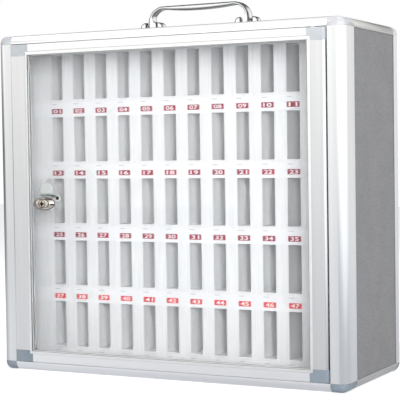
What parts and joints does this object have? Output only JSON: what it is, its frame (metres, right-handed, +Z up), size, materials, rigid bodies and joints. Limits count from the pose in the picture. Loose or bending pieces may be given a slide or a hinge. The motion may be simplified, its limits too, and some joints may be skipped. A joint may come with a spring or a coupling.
{
  "type": "cell phone locker box",
  "caption": "Upright aluminium-edged locker box with a hinged clear door, a cam lock, a folding top handle and a white rack of numbered upright phone slots.",
  "frame": {"origin": "centre of the footprint at the base, with the depth counted from the lock's face to the back of the case", "axes": "+Z up, +Y from the door to the back, +X to the right as seen from the front; the door's pivots are on the +X side"},
  "size_m": [0.62, 0.2536, 0.6073],
  "materials": {
    "case_extrusion": "satin anodised extrusion, fine lengthwise grain",
    "door_extrusion": "satin anodised extrusion, fine lengthwise grain",
    "corner_cap": "moulded, silver grey, slight sheen",
    "door_corner": "moulded, blue grey, slight sheen",
    "case_panel": "fibreboard with a mottled grey laminate",
    "rack_white": "smooth white sheet",
    "clear_pane": "clear acrylic sheet",
    "gasket": "grey extruded seal",
    "clear_pull": "moulded clear plastic",
    "pin_steel": "bright drawn steel",
    "washer_nylon": "white nylon",
    "plate_steel": "zinc plated",
    "lock_nickel": "warm polished nickel",
    "handle_chrome": "polished chrome"
  },
  "bodies": {
    "case": {"cap_front_base_left": "corner_cap", "cap_front_base_right": "corner_cap", "cap_front_top_left": "corner_cap", "cap_front_top_right": "corner_cap", "cap_rear_base_left": "corner_cap", "cap_rear_base_right": "corner_cap", "cap_rear_top_left": "corner_cap", "cap_rear_top_right": "corner_cap", "front_post_left": "case_extrusion", "front_post_right": "case_extrusion", "front_rail_base": "case_extrusion", "front_rail_top": "case_extrusion", "handle_bracket_left": "handle_chrome", "handle_bracket_right": "handle_chrome", "handle_pins": "pin_steel", "panel_back": "case_panel", "panel_base": "case_panel", "panel_top": "case_panel", "pivot_washers": "washer_nylon", "rack_back": "rack_white", "rack_strip_base": "rack_white", "rack_strip_top": "rack_white", "rack_strips": "rack_white", "rear_post_left": "case_extrusion", "rear_post_right": "case_extrusion", "rear_rail_base": "case_extrusion", "rear_rail_top": "case_extrusion", "side_panel_left": "case_panel", "side_panel_right": "case_panel", "side_rail_base_left": "case_extrusion", "side_rail_base_right": "case_extrusion", "side_rail_top_left": "case_extrusion", "side_rail_top_right": "case_extrusion", "slot_dividers_row_1": "rack_white", "slot_dividers_row_2": "rack_white", "slot_dividers_row_3": "rack_white", "slot_dividers_row_4": "rack_white", "slot_dividers_row_5": "rack_white", "strike_plate": "plate_steel"},
    "door": {"door_corner_base_hinge": "door_corner", "door_corner_base_lock": "door_corner", "door_corner_top_hinge": "door_corner", "door_corner_top_lock": "door_corner", "door_pane": "clear_pane", "door_rail_base": "door_extrusion", "door_rail_top": "door_extrusion", "door_stile_hinge": "door_extrusion", "door_stile_lock": "door_extrusion", "pane_gasket": "gasket", "pivot_pins": "pin_steel", "finger_pull": "clear_pull", "lock_housing": "lock_nickel", "lock_nut": "plate_steel"},
    "lock": {"lock_plug": "lock_nickel", "lock_cam": "plate_steel", "cam_screw": "plate_steel"},
    "handle": {"handle_bail": "handle_chrome"}
  },
  "joints": [
    {"name": "door_hinge", "type": "hinge", "parent": "case", "child": "door", "pos_m": [0.26, -0.11375, 0.28], "axis": [0, 0, 1], "range_deg": [0, 140]},
    {"name": "lock_turn", "type": "hinge", "parent": "door", "child": "lock", "pos_m": [-0.2215, -0.11825, 0.28], "axis": [0, -1, 0], "range_deg": [0, 90]},
    {"name": "handle_swing", "type": "hinge", "parent": "case", "child": "handle", "pos_m": [0, 0.02225, 0.5713], "axis": [1, 0, 0], "range_deg": [-90, 90]}
  ]
}
